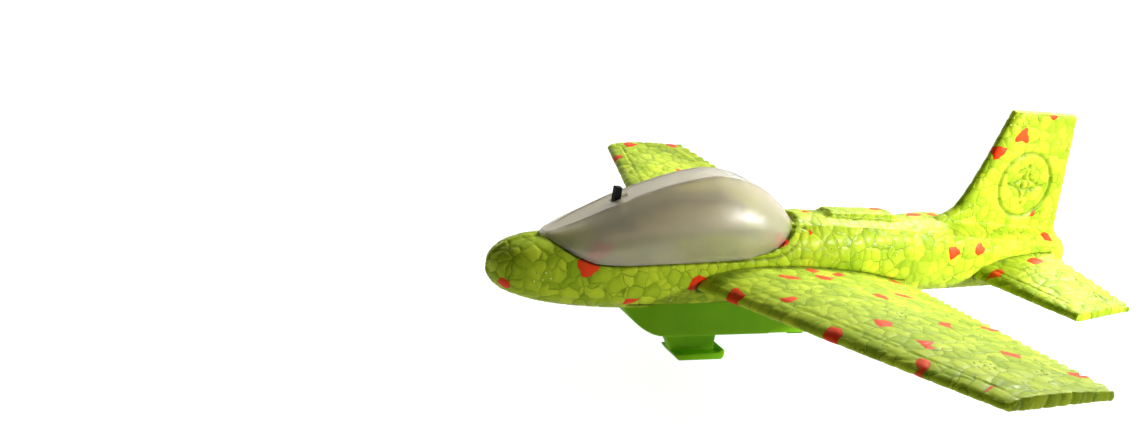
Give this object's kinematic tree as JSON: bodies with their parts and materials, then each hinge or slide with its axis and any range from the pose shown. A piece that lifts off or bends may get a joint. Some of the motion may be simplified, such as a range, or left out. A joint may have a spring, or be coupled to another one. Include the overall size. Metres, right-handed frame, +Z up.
{
  "type": "foam hand glider",
  "caption": "Moulded bead-foam hand and catapult glider with a light box under a milky canopy, a slide switch and a plastic keel with a T-rail launch foot.",
  "frame": {"origin": "middle of the launch foot's flat underside, the face the glider is set down on", "axes": "-Y towards the nose, +X to the glider's port side, +Z up; X = 0 is the plane of symmetry"},
  "size_m": [0.232, 0.2249, 0.0892],
  "materials": {
    "green_foam": "moulded bead foam with a shiny skin",
    "green_plastic": "satin translucent",
    "milky_plastic": "polished, translucent",
    "cream_plastic": "satin",
    "cell_steel": "plated",
    "spring_steel": "plated",
    "board_laminate": "bare laminate",
    "black_plastic": "satin",
    "lamp_resin": "clear resin",
    "resistor_coat": "lacquered",
    "red_insulation": "soft",
    "screw_steel": "zinc plated"
  },
  "bodies": {
    "airframe": {"fuselage": "green_foam", "main_wing": "green_foam", "tailplane": "green_foam", "keel": "green_plastic", "canopy": "milky_plastic", "light_box": "cream_plastic", "battery_cover": "cream_plastic", "button_cells": "cell_steel", "contact_plate": "spring_steel", "contact_spring": "spring_steel", "circuit_board": "board_laminate", "switch_body": "spring_steel", "led_front": "lamp_resin", "led_rear": "lamp_resin", "resistor": "resistor_coat", "red_lead": "red_insulation", "black_lead": "black_plastic", "keel_screws": "screw_steel", "board_screws": "screw_steel", "cover_screw": "screw_steel"},
    "lever": {"switch_lever": "black_plastic"}
  },
  "joints": [
    {"name": "switch_slide", "type": "slide", "parent": "airframe", "child": "lever", "axis": [0, 1, 0], "range_m": [0, 0.002]}
  ]
}
